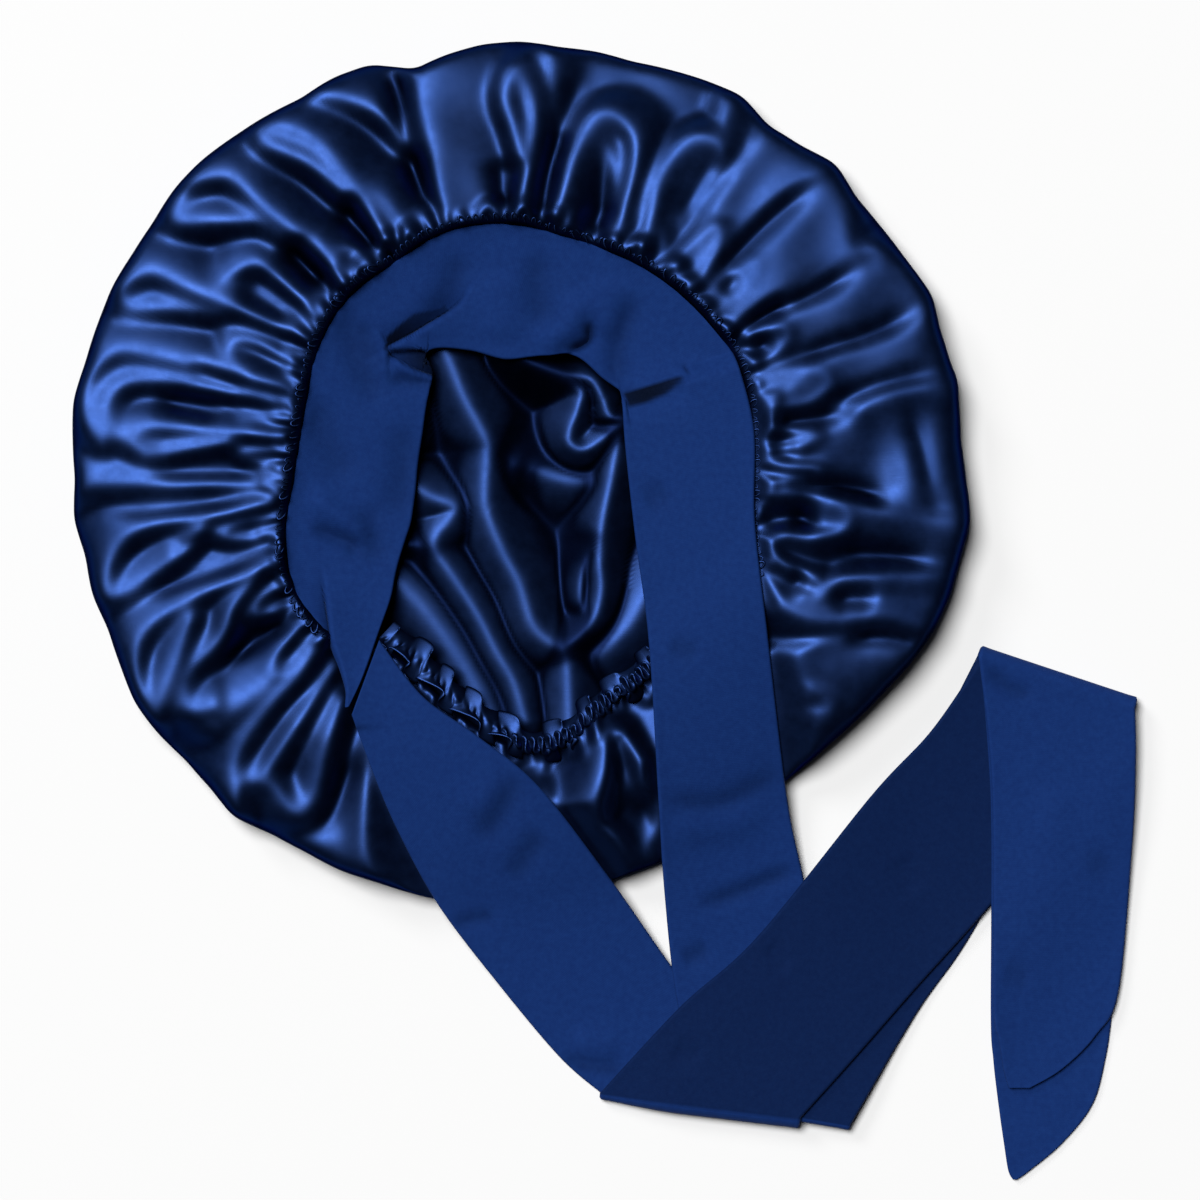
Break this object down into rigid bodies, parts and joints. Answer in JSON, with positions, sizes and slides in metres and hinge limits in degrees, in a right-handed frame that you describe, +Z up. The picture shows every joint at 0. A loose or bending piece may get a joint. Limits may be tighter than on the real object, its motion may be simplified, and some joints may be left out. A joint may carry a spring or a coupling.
{
  "type": "satin bonnet",
  "caption": "Gathered satin sleep bonnet laid flat, opening up, with a wide jersey head band, an elastic nape casing and two long ties folded together beside it.",
  "frame": {"origin": "middle of the crown's underside, on the surface that the bonnet lies on", "axes": "+Z up out of the opening, +Y towards the forehead side of the band, -Y towards the elastic nape, +X towards the right tie"},
  "size_m": [0.4246, 0.4542, 0.0315],
  "materials": {
    "satin": "glossy navy blue satin",
    "jersey": "matte navy knitted jersey"
  },
  "bodies": {
    "root": {"satin_crown": "satin", "head_band": "jersey", "nape_casing": "satin", "left_tie": "jersey", "right_tie": "jersey"}
  },
  "joints": []
}
